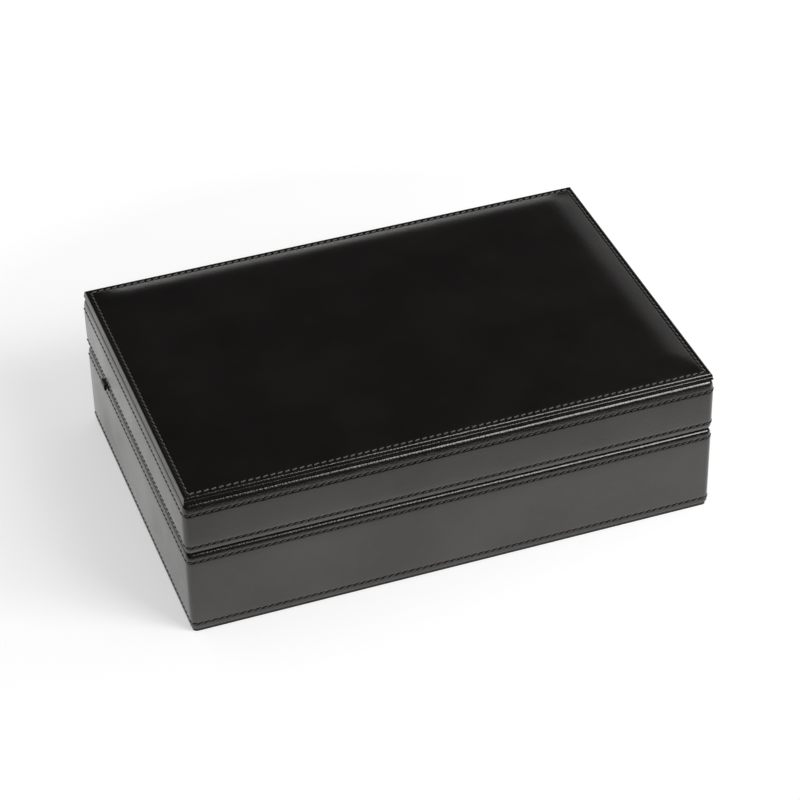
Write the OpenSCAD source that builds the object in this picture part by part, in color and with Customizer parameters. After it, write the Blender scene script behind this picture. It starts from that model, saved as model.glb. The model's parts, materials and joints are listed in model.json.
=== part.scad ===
// Hinged stationery box covered in stitched leather, with a padded lid.
// Units are millimetres. The origin is the middle of the face it stands on,
// +X runs along the long front, +Y to the hinged back and +Z up.

/* [Box] */
// Length of the leather walls along the front
length = 302; // [280:1:330]
// Depth of the leather walls, front to back
depth = 204; // [190:1:230]
// Height of the base, from the table to its rim
base_h = 53; // [45:1:70]
// Height of the lid's walls, rim to top edge
lid_wall_h = 33.6; // [30:0.2:50]
// Gap between the closed rims
rim_gap = 0.4; // [0.3:0.1:0.8]

/* [Walls] */
// Thickness of the wall boards
board_t = 5; // [4:0.5:6]
// Thickness of the wall leather on the outside
leather_t = 1.2; // [1:0.1:1.3]
// Thickness of the leather where it is pared and turned over an edge
turn_t = 0.9; // [0.8:0.1:1]
// Thickness of the lining on the inner walls
lining_t = 0.8; // [0.6:0.1:1]
// Radius of the four upright corners
corner_r = 3.5; // [3.5:0.1:4.5]

/* [Rolled edges] */
// How far the rims roll inwards
rim_roll_in = 2; // [1.5:0.1:2.4]
// Height over which the rims roll
rim_roll_h = 4; // [3.5:0.1:5]
// How far the lid's top edge rolls inwards
top_roll_in = 2.6; // [2:0.1:2.8]
// Height over which the lid's top edge rolls
top_roll_h = 6; // [5.5:0.1:7]

/* [Top panel] */
// Inset of the top panel from the leather walls
panel_inset = 1; // [0.6:0.1:2]
// Thickness of the panel's lower layer
backing_t = 1.9; // [1.5:0.1:2.5]
// Thickness of the panel's upper leather at its edge
skin_edge_t = 2.1; // [1.8:0.1:2.4]
// Thickness of the upper leather over the padding
skin_t = 1.5; // [1.2:0.1:1.7]
// Rise of the padded middle above the panel's edge
crown = 3; // [1:0.2:5]
// Width over which the padding rises
crown_w = 17; // [12:1:26]
// Flat margin between the panel's edge and the padding
margin_w = 5; // [4.5:0.5:7]

/* [Floors] */
// Thickness of the cover under the base
bottom_cover_t = 1.5; // [1:0.1:2]
// Inset of the cover under the base
bottom_inset = 1; // [0.5:0.1:3]
// Thickness of the floor board
floor_t = 3.5; // [3:0.5:5]
// Thickness of the lid's top board
top_board_t = 3; // [2.5:0.1:3.5]
// Thickness of the lined pads on the floor and under the lid
pad_t = 1.5; // [1:0.1:3]

/* [Hinges] */
// Distance from the middle of the box to each hinge
hinge_x = 90; // [50:1:110]
// Length of a hinge
hinge_l = 30; // [24:1:40]
// Radius of the hinge barrels
barrel_r = 2.5; // [2.2:0.1:2.8]
// Radius of the hinge pins
pin_r = 1; // [0.8:0.1:1.2]

/* [Lid stays] */
// Width of a ribbon
ribbon_w = 10; // [8:1:14]
// Thickness of a ribbon
ribbon_t = 0.5; // [0.4:0.1:0.6]
// Distance from the hinge axis to the ribbons' tacks, along the side walls
stay_reach = 57; // [50:1:70]
// Height of the tacks above and below the seam
stay_drop = 14; // [12:1:18]
// Distance from the hinge axis to the ribbon's fold in the left seam
fold_reach = 41; // [35:1:48]

/* [Hidden] */

$fn = 48;
eps = 0.01;

// Depths measured inwards from the outer face of the leather walls
board_out = leather_t;
board_in = leather_t + board_t;
lining_in = board_in + lining_t;
turn_in = corner_r - 0.1;

// Heights
base_turn_z = bottom_cover_t + turn_t;
base_board_top = base_h - turn_t;
base_floor_top = bottom_cover_t + floor_t;
lid_rim = base_h + rim_gap;
lid_board_z = lid_rim + turn_t;
lid_top = lid_rim + lid_wall_h;
lid_turn_z = lid_top - turn_t;
top_board_z = lid_turn_z - top_board_t;
backing_top = lid_top + backing_t;
panel_edge_z = backing_top + skin_edge_t;
lining_step = 1;

// Depth of the top board's edge and of the turned leather under the panel
top_board_out = top_roll_in - 0.2;
top_turn_in = 8;

// Hinge axis, at the back face in the middle of the seam
axis_y = depth / 2;
axis_z = base_h + rim_gap / 2;
barrel_clear = 0.4;
knuckle_gap = 0.15;
knuckle_l = hinge_l / 3;
pin_clear = 0.05;
pin_head_r = 1.8;
pin_head_t = 0.6;
leaf_front_y = axis_y - board_in + 0.1;
leaf_back_y = axis_y - barrel_r - 0.2;
screw_y = (leaf_front_y + leaf_back_y) / 2;
screw_x = 9;
screw_r = 0.8;
screw_head_r = 1.4;
screw_l = 6;
screw_clear = 0.03;

// Lid stays
tack_y = axis_y - stay_reach;
tack_head_r = 2.2;
tack_head_t = 1.2;
tack_r = 0.5;
tack_l = 4;
fold_y = axis_y - fold_reach;
fold_drop = 1.2;
fold_half_h = 3.4;
fold_half_t = 1.1;
fold_proud = 1.2;
fold_neck_t = 2 * ribbon_t;
notch_side = 0.4;

// Colours
black_leather = [0.05, 0.05, 0.05];
lining_grey = [0.22, 0.21, 0.2];
board_brown = [0.55, 0.42, 0.28];
brass = [0.78, 0.62, 0.3];
ribbon_black = [0.08, 0.08, 0.08];
foam_cream = [0.85, 0.8, 0.65];

// Plain shapes

// Rectangle with round corners, the size of the walls less an inset all round
module wall_outline(inset, r) {
    l = length - 2 * inset;
    d = depth - 2 * inset;
    if (r <= 0) {
        square([l, d], center = true);
    } else {
        square([l - 2 * r, d], center = true);
        square([l, d - 2 * r], center = true);
        for (sx = [-1, 1], sy = [-1, 1]) {
            translate([sx * (l / 2 - r), sy * (d / 2 - r)]) circle(r = r);
        }
    }
}

// Flat ring between two insets
module flat_ring(outer, inner, z, t) {
    translate([0, 0, z]) linear_extrude(t) difference() {
        wall_outline(outer, max(0, corner_r - outer));
        wall_outline(inner, 0);
    }
}

// Flat sheet, inset from the walls all round
module sheet_at(inset, r, z, t) {
    translate([0, 0, z]) linear_extrude(t) wall_outline(inset, r);
}

// Points of a rolled edge, from the flat wall at a = 0 to the top at a = 90
function roll(z, dir, width, height) = [
    for (a = [0 : 15 : 90]) [width * (1 - cos(a)), z + dir * height * sin(a)]
];
function reversed(points) = [for (i = [len(points) - 1 : -1 : 0]) points[i]];

// A wall profile of [depth inwards, height] points, carried round the box
module wall_sweep(profile) {
    for (side = [0, 1]) {
        run = side == 0 ? length : depth;
        out = side == 0 ? depth / 2 : length / 2;
        for (turn = [0, 180]) {
            rotate([0, 0, turn + 90 * side]) translate([-(run / 2 - corner_r), -out, 0])
                rotate([90, 0, 90]) linear_extrude(run - 2 * corner_r) polygon(profile);
        }
    }
    for (sx = [0, 1], sy = [0, 1]) {
        mirror([sx, 0, 0]) mirror([0, sy, 0])
            translate([length / 2 - corner_r, depth / 2 - corner_r, 0])
                rotate_extrude(angle = 90) polygon([for (p = profile) [corner_r - p[0], p[1]]]);
    }
}

// Boards

// One wall board: side is front, back, left or right
module wall_board(side, z, top) {
    long = side == "front" || side == "back";
    away = side == "front" || side == "left" ? -1 : 1;
    intersection() {
        sheet_at(board_out, corner_r - board_out, z, top - z);
        if (long) {
            y = away * (depth / 2 - board_out - board_t / 2);
            translate([-length / 2, y - board_t / 2, z]) cube([length, board_t, top - z]);
        } else {
            x = away * (length / 2 - board_out - board_t / 2);
            inner_d = depth - 2 * board_in;
            translate([x - board_t / 2, -inner_d / 2, z]) cube([board_t, inner_d, top - z]);
        }
    }
}

// Room for the hinge barrels, cut from what lies round them
module barrel_room() {
    for (sx = [-1, 1]) {
        translate([sx * hinge_x - hinge_l / 2 - pin_head_t - 0.4, axis_y, axis_z]) rotate([0, 90, 0])
            cylinder(r = barrel_r + barrel_clear, h = hinge_l + 2 * pin_head_t + 0.8);
    }
}

// Room for the hinge leaves in the turned leather of a rim
module leaf_room(z) {
    for (sx = [-1, 1]) {
        translate([sx * hinge_x - hinge_l / 2 - 0.1, leaf_front_y - 0.1, z - eps])
            cube([hinge_l + 0.2, board_in + 1, turn_t + 2 * eps]);
    }
}

// Pilot holes for the hinge screws, from a rim into its back board
module screw_holes(z, dir) {
    for (sx = [-1, 1], dx = [-1, 1]) {
        translate([sx * hinge_x + dx * screw_x, screw_y, z]) rotate([dir > 0 ? 0 : 180, 0, 0])
            cylinder(r = screw_r + screw_clear, h = screw_l + 0.2);
    }
}

// Round holes for the ribbons' tacks in a side wall
module tack_hole(side, z) {
    translate([side * (length / 2 - lining_in - 2), tack_y, z]) rotate([0, side * 90, 0])
        cylinder(r = tack_r + screw_clear, h = tack_l + 2.2);
}

base_tack_z = axis_z - stay_drop;
lid_tack_z = axis_z + stay_drop;

// Base

module base_bottom_cover() {
    color(black_leather) sheet_at(bottom_inset, corner_r - bottom_inset, 0, bottom_cover_t);
}

module base_floor_board() {
    color(board_brown) sheet_at(board_in, 0, bottom_cover_t, floor_t);
}

module base_front_board() {
    color(board_brown) wall_board("front", base_turn_z, base_board_top);
}

module base_back_board() {
    color(board_brown) difference() {
        wall_board("back", base_turn_z, base_board_top);
        barrel_room();
        screw_holes(base_h, -1);
    }
}

module base_left_board() {
    color(board_brown) difference() {
        wall_board("left", base_turn_z, base_board_top);
        tack_hole(-1, base_tack_z);
    }
}

module base_right_board() {
    color(board_brown) difference() {
        wall_board("right", base_turn_z, base_board_top);
        tack_hole(1, base_tack_z);
    }
}

// Pressed-in place in the left rims where the ribbon's fold passes
module fold_notch() {
    translate([-length / 2 - eps, fold_y - ribbon_w / 2 - notch_side, axis_z - fold_neck_t / 2 - 0.1])
        cube([lining_in + 1, ribbon_w + 2 * notch_side, fold_neck_t + 0.2]);
    translate([-length / 2, fold_y, axis_z - fold_drop]) rotate([90, 0, 0])
        linear_extrude(ribbon_w + 2 * notch_side, center = true) fold_outline(0.3);
}

// Outline of the fold outside the seam, seen along the wall
module fold_outline(extra) {
    polygon([
        for (a = [0 : 15 : 345])
            [fold_half_t - fold_proud + (fold_half_t + extra) * cos(a), (fold_half_h + extra) * sin(a)]
    ]);
}

module base_wall_leather() {
    foot = bottom_cover_t;
    profile = concat(
        roll(base_h - rim_roll_h, 1, rim_roll_in, rim_roll_h),
        [
            [turn_in, base_h],
            [turn_in, base_board_top],
            [board_out, base_board_top],
            [board_out, base_turn_z],
            [turn_in, base_turn_z],
            [turn_in, foot]
        ],
        reversed(roll(foot + rim_roll_h, -1, rim_roll_in, rim_roll_h))
    );
    color(black_leather) difference() {
        union() {
            wall_sweep(profile);
            flat_ring(turn_in - 0.1, board_in, base_board_top, turn_t);
            flat_ring(turn_in - 0.1, board_in, foot, turn_t);
        }
        barrel_room();
        leaf_room(base_board_top);
        fold_notch();
    }
}

module base_wall_lining() {
    top = base_h - lining_step;
    color(lining_grey) difference() {
        translate([0, 0, base_floor_top]) linear_extrude(top - base_floor_top) difference() {
            wall_outline(board_in, 0);
            wall_outline(lining_in, 0);
        }
        for (side = [-1, 1]) tack_hole(side, base_tack_z);
    }
}

module base_floor_pad() {
    color(lining_grey) sheet_at(lining_in + 0.2, 0, base_floor_top, pad_t);
}

// Lid

module lid_top_board() {
    color(board_brown) sheet_at(top_board_out, corner_r - top_board_out, top_board_z, top_board_t);
}

module lid_front_board() {
    color(board_brown) wall_board("front", lid_board_z, top_board_z);
}

module lid_back_board() {
    color(board_brown) difference() {
        wall_board("back", lid_board_z, top_board_z);
        barrel_room();
        screw_holes(lid_rim, 1);
    }
}

module lid_left_board() {
    color(board_brown) difference() {
        wall_board("left", lid_board_z, top_board_z);
        tack_hole(-1, lid_tack_z);
    }
}

module lid_right_board() {
    color(board_brown) difference() {
        wall_board("right", lid_board_z, top_board_z);
        tack_hole(1, lid_tack_z);
    }
}

module lid_wall_leather() {
    profile = concat(
        roll(lid_top - top_roll_h, 1, top_roll_in, top_roll_h),
        [
            [turn_in, lid_top],
            [turn_in, lid_turn_z],
            [top_board_out, lid_turn_z],
            [top_board_out, top_board_z],
            [board_out, top_board_z],
            [board_out, lid_board_z],
            [turn_in, lid_board_z],
            [turn_in, lid_rim]
        ],
        reversed(roll(lid_rim + rim_roll_h, -1, rim_roll_in, rim_roll_h))
    );
    color(black_leather) difference() {
        union() {
            wall_sweep(profile);
            flat_ring(turn_in - 0.1, board_in, lid_rim, turn_t);
            flat_ring(turn_in - 0.1, top_turn_in, lid_turn_z, turn_t);
        }
        barrel_room();
        leaf_room(lid_rim);
        fold_notch();
    }
}

module lid_wall_lining() {
    foot = lid_rim + lining_step;
    color(lining_grey) difference() {
        translate([0, 0, foot]) linear_extrude(top_board_z - foot) difference() {
            wall_outline(board_in, 0);
            wall_outline(lining_in, 0);
        }
        for (side = [-1, 1]) tack_hole(side, lid_tack_z);
    }
}

module lid_ceiling_pad() {
    color(lining_grey) sheet_at(lining_in + 0.2, 0, top_board_z - pad_t, pad_t);
}

module lid_filler_card() {
    color(foam_cream) sheet_at(top_turn_in + 0.1, 0, lid_turn_z, turn_t);
}

module lid_panel_backing() {
    color(black_leather) sheet_at(panel_inset, 0, lid_top, backing_t);
}

// Padded panel: distances from the panel's edge at which its grid lines lie
pad_gap = 0.6;
pad_edge_t = 0.4;
pad_steps = [pad_gap, 2.5, 4.5, 7.5, 11.5, crown_w];
edge_steps = concat([0, 1.5, 3.3, margin_w], [for (s = pad_steps) margin_w + s]);
pad_first = 4;
panel_l = length - 2 * panel_inset;
panel_d = depth - 2 * panel_inset;
function grid_lines(size) = concat(
    [for (s = edge_steps) s - size / 2],
    [-size / 6, 0, size / 6],
    [for (i = [len(edge_steps) - 1 : -1 : 0]) size / 2 - edge_steps[i]]
);
xs = grid_lines(panel_l - 0.6);
ys = grid_lines(panel_d - 0.6);
function clamp01(v) = min(1, max(0, v));
function swell(p, size) = sin(90 * clamp01((size / 2 - abs(p) - margin_w) / crown_w));
function puff(x, y) = swell(x, panel_l - 0.6) * swell(y, panel_d - 0.6);
function skin_top(x, y) = panel_edge_z + crown * puff(x, y);
pad_rise = crown + skin_edge_t - skin_t - pad_edge_t;
function over_pad(x, y) = puff(x, y) > 0 ? 1 : 0;
function foam_top(x, y) = backing_top + over_pad(x, y) * pad_edge_t + pad_rise * puff(x, y);

// Slab between two surfaces that share the grid lines px and py
module slab(px, py, tops, bottoms) {
    nx = len(px);
    ny = len(py);
    t = function(i, j) j * nx + i;
    b = function(i, j) nx * ny + j * nx + i;
    cells = [for (j = [0 : ny - 2], i = [0 : nx - 2]) [i, j]];
    around = concat(
        [for (i = [0 : nx - 2]) [[i, 0], [i + 1, 0]]],
        [for (j = [0 : ny - 2]) [[nx - 1, j], [nx - 1, j + 1]]],
        [for (i = [nx - 1 : -1 : 1]) [[i, ny - 1], [i - 1, ny - 1]]],
        [for (j = [ny - 1 : -1 : 1]) [[0, j], [0, j - 1]]]
    );
    upper = [
        for (c = cells) each [
            [t(c[0], c[1]), t(c[0] + 1, c[1] + 1), t(c[0] + 1, c[1])],
            [t(c[0], c[1]), t(c[0], c[1] + 1), t(c[0] + 1, c[1] + 1)]
        ]
    ];
    lower = [
        for (c = cells) each [
            [b(c[0], c[1]), b(c[0] + 1, c[1]), b(c[0] + 1, c[1] + 1)],
            [b(c[0], c[1]), b(c[0] + 1, c[1] + 1), b(c[0], c[1] + 1)]
        ]
    ];
    sides = [
        for (e = around) each [
            [b(e[0][0], e[0][1]), t(e[0][0], e[0][1]), t(e[1][0], e[1][1])],
            [b(e[0][0], e[0][1]), t(e[1][0], e[1][1]), b(e[1][0], e[1][1])]
        ]
    ];
    polyhedron(points = concat(tops, bottoms), faces = concat(upper, lower, sides), convexity = 4);
}

module lid_panel_leather() {
    tops = [for (y = ys, x = xs) [x, y, skin_top(x, y)]];
    bottoms = [for (y = ys, x = xs) [x, y, foam_top(x, y)]];
    color(black_leather) slab(xs, ys, tops, bottoms);
}

module lid_panel_foam() {
    px = [for (i = [pad_first : len(xs) - 1 - pad_first]) xs[i]];
    py = [for (j = [pad_first : len(ys) - 1 - pad_first]) ys[j]];
    tops = [for (y = py, x = px) [x, y, foam_top(x, y)]];
    bottoms = [for (y = py, x = px) [x, y, backing_top]];
    color(foam_cream) slab(px, py, tops, bottoms);
}

// Hinges

module screw_seats(side, z, dir) {
    for (dx = [-1, 1]) {
        translate([side * hinge_x + dx * screw_x, screw_y, z]) rotate([dir > 0 ? 0 : 180, 0, 0]) {
            translate([0, 0, -eps]) cylinder(r1 = screw_head_r + eps, r2 = screw_r + screw_clear, h = 0.6);
            cylinder(r = screw_r + screw_clear, h = turn_t + 1);
        }
    }
}

// A leaf on its rim, with knuckles at the given thirds of the barrel
module hinge_leaf(side, z, dir, knuckles) {
    plate_z = dir > 0 ? z : z - turn_t;
    color(brass) difference() {
        union() {
            translate([side * hinge_x - hinge_l / 2, leaf_front_y, plate_z])
                cube([hinge_l, leaf_back_y - leaf_front_y, turn_t]);
            for (k = knuckles) {
                x0 = side * hinge_x + (k - 1.5) * knuckle_l + knuckle_gap / 2;
                translate([x0, axis_y, axis_z]) rotate([0, 90, 0])
                    cylinder(r = barrel_r, h = knuckle_l - knuckle_gap);
                translate([x0, leaf_back_y - eps, plate_z])
                    cube([knuckle_l - knuckle_gap, axis_y - leaf_back_y + eps, turn_t]);
            }
        }
        translate([side * hinge_x - hinge_l, axis_y, axis_z]) rotate([0, 90, 0])
            cylinder(r = pin_r + pin_clear, h = 2 * hinge_l);
        screw_seats(side, z, dir);
    }
}

module hinge_pin(side) {
    color(brass) translate([side * hinge_x, axis_y, axis_z]) rotate([0, 90, 0]) {
        cylinder(r = pin_r, h = hinge_l + 0.2, center = true);
        for (s = [-1, 1]) {
            translate([0, 0, s * (hinge_l + 0.2 + pin_head_t) / 2])
                cylinder(r = pin_head_r, h = pin_head_t, center = true);
        }
    }
}

// Countersunk slotted screws of both leaves on one rim
module hinge_screws(z, dir) {
    color(brass) for (sx = [-1, 1], dx = [-1, 1]) {
        translate([sx * hinge_x + dx * screw_x, screw_y, z]) rotate([dir > 0 ? 0 : 180, 0, 0])
            difference() {
                union() {
                    translate([0, 0, 0.05]) cylinder(r1 = screw_head_r - 0.06, r2 = screw_r, h = 0.55);
                    translate([0, 0, 0.5]) cylinder(r = screw_r, h = screw_l - 0.5);
                }
                translate([-screw_head_r, -0.2, 0]) cube([2 * screw_head_r, 0.4, 0.3]);
            }
    }
}

module left_hinge_base_leaf() { hinge_leaf(-1, base_h, -1, [0, 2]); }
module right_hinge_base_leaf() { hinge_leaf(1, base_h, -1, [0, 2]); }
module left_hinge_lid_leaf() { hinge_leaf(-1, lid_rim, 1, [1]); }
module right_hinge_lid_leaf() { hinge_leaf(1, lid_rim, 1, [1]); }
module left_hinge_pin() { hinge_pin(-1); }
module right_hinge_pin() { hinge_pin(1); }
module base_hinge_screws() { hinge_screws(base_h, -1); }
module lid_hinge_screws() { hinge_screws(lid_rim, 1); }

// Lid stays

// Domed tacks through the ribbons' ends, one on each side wall
module stay_tacks(z) {
    dome_r = (tack_head_r * tack_head_r + tack_head_t * tack_head_t) / (2 * tack_head_t);
    color(brass) for (side = [-1, 1]) {
        translate([side * (length / 2 - lining_in - ribbon_t), tack_y, z]) rotate([0, -side * 90, 0]) {
            intersection() {
                translate([0, 0, tack_head_t - dome_r]) sphere(r = dome_r);
                cylinder(r = tack_head_r, h = tack_head_t);
            }
            translate([0, 0, -tack_l]) cylinder(r = tack_r, h = tack_l + 0.1);
        }
    }
}

// The slack ribbon of the closed box, flat against a side wall: it runs from the
// tack in the base towards the hinge and back to the tack in the lid
module ribbon_outline() {
    half = ribbon_w / 2;
    lower = [
        [-stay_reach - half, -stay_drop - 5],
        [-stay_reach + half, -stay_drop - 5],
        [-fold_reach + half, -4],
        [-26, -2.5],
        [-21, 0]
    ];
    inner = [
        [-31, 0],
        [-38, -0.4],
        [-fold_reach - half, -2.5]
    ];
    upper_of = function(points) [for (p = reversed(points)) [p[0], -p[1]]];
    polygon(concat(
        lower,
        upper_of([for (i = [0 : 3]) lower[i]]),
        [[-fold_reach - half, 2.5], [-38, 0.4]],
        inner
    ));
}

module stay_ribbon(side) {
    color(ribbon_black) difference() {
        translate([side * (length / 2 - lining_in) - (side > 0 ? ribbon_t : 0), axis_y, axis_z])
            rotate([90, 0, 90]) linear_extrude(ribbon_t) ribbon_outline();
        for (z = [base_tack_z, lid_tack_z]) tack_hole(side, z);
    }
}

module left_stay_ribbon() {
    stay_ribbon(-1);
    color(ribbon_black) {
        neck_x = fold_half_t - fold_proud;
        translate([-length / 2 + neck_x, fold_y - ribbon_w / 2, axis_z - fold_neck_t / 2])
            cube([lining_in + ribbon_t - neck_x, ribbon_w, fold_neck_t]);
        translate([-length / 2, fold_y, axis_z - fold_drop]) rotate([90, 0, 0])
            linear_extrude(ribbon_w, center = true) fold_outline(0);
    }
}

module right_stay_ribbon() { stay_ribbon(1); }
module base_stay_tacks() { stay_tacks(base_tack_z); }
module lid_stay_tacks() { stay_tacks(lid_tack_z); }

base_bottom_cover();
base_floor_board();
base_front_board();
base_back_board();
base_left_board();
base_right_board();
base_wall_leather();
base_wall_lining();
base_floor_pad();
left_hinge_base_leaf();
right_hinge_base_leaf();
left_hinge_pin();
right_hinge_pin();
base_hinge_screws();
base_stay_tacks();
left_stay_ribbon();
right_stay_ribbon();
lid_top_board();
lid_front_board();
lid_back_board();
lid_left_board();
lid_right_board();
lid_wall_leather();
lid_wall_lining();
lid_ceiling_pad();
lid_filler_card();
lid_panel_backing();
lid_panel_foam();
lid_panel_leather();
left_hinge_lid_leaf();
right_hinge_lid_leaf();
lid_hinge_screws();
lid_stay_tacks();
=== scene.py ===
"""A stationery box in stitched black leather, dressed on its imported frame.

Every length is in metres unless a name says otherwise. +X runs along the long
front, +Y to the hinged back and +Z up, and the floor is at Z = 0.
"""
import json
import math

import bmesh
import bpy
from bpy.props import FloatProperty, FloatVectorProperty, IntProperty, PointerProperty
from mathutils import Matrix, Vector


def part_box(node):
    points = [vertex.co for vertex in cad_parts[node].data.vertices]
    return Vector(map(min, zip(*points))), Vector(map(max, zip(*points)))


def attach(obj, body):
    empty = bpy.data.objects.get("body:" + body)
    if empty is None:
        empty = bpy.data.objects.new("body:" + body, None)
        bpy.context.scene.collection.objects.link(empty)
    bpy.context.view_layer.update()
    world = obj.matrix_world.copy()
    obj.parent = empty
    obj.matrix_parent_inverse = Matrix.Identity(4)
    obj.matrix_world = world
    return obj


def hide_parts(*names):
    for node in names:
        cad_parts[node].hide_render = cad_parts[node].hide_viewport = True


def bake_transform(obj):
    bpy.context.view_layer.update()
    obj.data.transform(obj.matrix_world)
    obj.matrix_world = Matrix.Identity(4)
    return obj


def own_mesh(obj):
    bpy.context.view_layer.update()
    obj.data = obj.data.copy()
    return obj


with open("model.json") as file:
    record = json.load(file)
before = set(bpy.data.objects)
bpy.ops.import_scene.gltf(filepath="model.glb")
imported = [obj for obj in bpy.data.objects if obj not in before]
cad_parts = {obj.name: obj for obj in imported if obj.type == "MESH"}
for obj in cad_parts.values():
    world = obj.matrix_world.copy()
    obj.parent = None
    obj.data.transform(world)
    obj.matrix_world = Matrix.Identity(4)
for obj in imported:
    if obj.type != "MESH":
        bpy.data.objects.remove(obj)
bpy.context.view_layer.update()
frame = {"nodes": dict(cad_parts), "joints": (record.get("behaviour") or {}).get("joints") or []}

bl_info = {
    "name": "Leather stationery box",
    "version": (1, 0, 0),
    "blender": (4, 5, 0),
    "location": "View3D > Sidebar > Stationery box",
    "description": "Dresses the frame of a hinged stationery box in stitched black leather",
    "category": "Object",
}

MM = 0.001

# Places read from the frame
BASE_LOW, BASE_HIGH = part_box("base_wall_leather")
LID_LOW, LID_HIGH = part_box("lid_wall_leather")
BACKING_LOW, BACKING_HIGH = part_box("lid_panel_backing")
SKIN_LOW, SKIN_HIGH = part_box("lid_panel_leather")
LINING_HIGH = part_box("base_wall_lining")[1]
FLOOR_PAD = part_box("base_floor_pad")
CEILING_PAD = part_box("lid_ceiling_pad")
BASE_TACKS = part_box("base_stay_tacks")
LEFT_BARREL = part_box("left_hinge_pin")
RIGHT_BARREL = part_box("right_hinge_pin")
LEFT_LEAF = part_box("left_hinge_base_leaf")
RIGHT_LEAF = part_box("right_hinge_base_leaf")
HINGE = frame["joints"][0]
AXIS_Y = HINGE["pos_m"][1]
AXIS_Z = HINGE["pos_m"][2]
OPEN_ANGLE = math.radians(HINGE["range_deg"][1])

HALF_X = BASE_HIGH.x
HALF_Y = BASE_HIGH.y
BOARD_IN = HALF_X - LINING_HIGH.x
TACK_Y = (BASE_TACKS[0].y + BASE_TACKS[1].y) / 2
BASE_TACK_Z = (BASE_TACKS[0].z + BASE_TACKS[1].z) / 2

# Construction sizes that match the solids
BOARD_OUT = 1.2 * MM
TURN = 0.9 * MM
LINING_IN = 7.0 * MM
TOP_BOARD_OUT = 2.4 * MM
TOP_BOARD_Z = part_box("lid_top_board")[0].z
CORNER_R = 3.5 * MM

# Rolled edges, as (distance from the edge, depth inwards) in millimetres
RIM_ROLL = (
    (0.0, 2.8), (0.07, 2.3), (0.22, 1.85), (0.42, 1.45), (0.65, 1.12), (0.95, 0.85),
    (1.35, 0.62), (1.9, 0.42), (2.6, 0.24), (3.4, 0.1), (4.2, 0.0),
)
TOP_ROLL = (
    (0.0, 4.4), (0.25, 4.0), (0.5, 3.4), (0.65, 2.95), (0.74, 2.65), (0.83, 2.39), (0.98, 2.06),
    (1.17, 1.75), (1.4, 1.46), (1.66, 1.2), (1.95, 0.98), (2.26, 0.8), (2.6, 0.65), (3.1, 0.54),
    (3.8, 0.42), (4.8, 0.25), (5.8, 0.08), (6.6, 0.0),
)
EDGE_TURN = (
    (0.0, 2.0), (0.12, 1.5), (0.26, 1.05), (0.42, 0.7), (0.62, 0.42), (0.9, 0.2), (1.25, 0.06), (1.6, 0.0),
)

# Where the panel's grid lines run beside each edge, in millimetres from it
PANEL_LINES = (
    0.0, 0.06, 0.12, 0.19, 0.26, 0.34, 0.42, 0.52, 0.62, 0.76, 0.9, 1.07, 1.25, 1.6, 1.8, 2.3, 2.7,
    3.0, 3.3, 3.6, 3.9, 4.3, 4.8, 5.4, 6.2, 7.2, 8.6, 10.4, 12.8, 16.0, 19.5, 23.0, 28.0,
)
PANEL_MIDDLE = 24
PAD_MARGIN = 5.0 * MM
PAD_WIDTH = 17.0 * MM
PANEL_EDGE_Z = BACKING_HIGH.z + 2.1 * MM
CROWN = SKIN_HIGH.z - PANEL_EDGE_Z
# Room cut for the hinges, and how far a thread's middle stands above its groove
BARREL_ROOM = 2.9 * MM
BARREL_END_ROOM = 0.4 * MM
LEAF_ROOM = 0.1 * MM
LEAF_DEPTH_ROOM = 0.02 * MM
THREAD_PROUD = 0.62

# The ribbons, and how far from the hinge's height they start and end to bend
RIBBON_BEND = 10.0 * MM
FOLD_Y = AXIS_Y - 41.0 * MM
RIBBON_W = 10.0 * MM
RIBBON_T = 0.5 * MM
FOLD_W = 6.5 * MM


class BoxShape(bpy.types.PropertyGroup):
    """Sizes of the leatherwork that a user may change"""

    stitch_pitch: FloatProperty(
        name="Stitch pitch", description="Distance from one stitch to the next",
        default=4.0 * MM, min=2.5 * MM, max=6.0 * MM, subtype="DISTANCE", unit="LENGTH",
    )
    stitch_length: FloatProperty(
        name="Stitch length", description="Length of thread that shows in one stitch",
        default=3.0 * MM, min=1.5 * MM, max=5.0 * MM, subtype="DISTANCE", unit="LENGTH",
    )
    thread_width: FloatProperty(
        name="Thread width", description="Width of the sewing thread",
        default=0.75 * MM, min=0.3 * MM, max=1.2 * MM, subtype="DISTANCE", unit="LENGTH",
    )
    stitch_slant: FloatProperty(
        name="Stitch slant", description="Angle of each stitch to its row",
        default=math.radians(12.0), min=0.0, max=math.radians(20.0), subtype="ANGLE",
    )
    rim_row: FloatProperty(
        name="Rim rows", description="Distance of the rim rows from the rims",
        default=4.8 * MM, min=3.0 * MM, max=8.0 * MM, subtype="DISTANCE", unit="LENGTH",
    )
    foot_row: FloatProperty(
        name="Foot row", description="Distance of the lowest row from the leather's lower edge",
        default=4.0 * MM, min=3.0 * MM, max=8.0 * MM, subtype="DISTANCE", unit="LENGTH",
    )
    top_row: FloatProperty(
        name="Top row", description="Distance of the lid's upper row from its top edge",
        default=7.0 * MM, min=5.0 * MM, max=10.0 * MM, subtype="DISTANCE", unit="LENGTH",
    )
    panel_row: FloatProperty(
        name="Panel row", description="Distance of the panel's row from the panel's edge",
        default=3.3 * MM, min=2.0 * MM, max=6.0 * MM, subtype="DISTANCE", unit="LENGTH",
    )
    pinch: FloatProperty(
        name="Pinch", description="Depth to which the thread draws the leather in",
        default=0.55 * MM, min=0.0, max=0.8 * MM, subtype="DISTANCE", unit="LENGTH",
    )
    ribbon_bow: FloatProperty(
        name="Ribbon bow", description="How far an open ribbon stay bows from the side wall",
        default=1.6 * MM, min=0.0, max=5.0 * MM, subtype="DISTANCE", unit="LENGTH",
    )
    corner_segments: IntProperty(
        name="Corner segments", description="Segments round each upright corner",
        default=8, min=3, max=16,
    )


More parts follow.
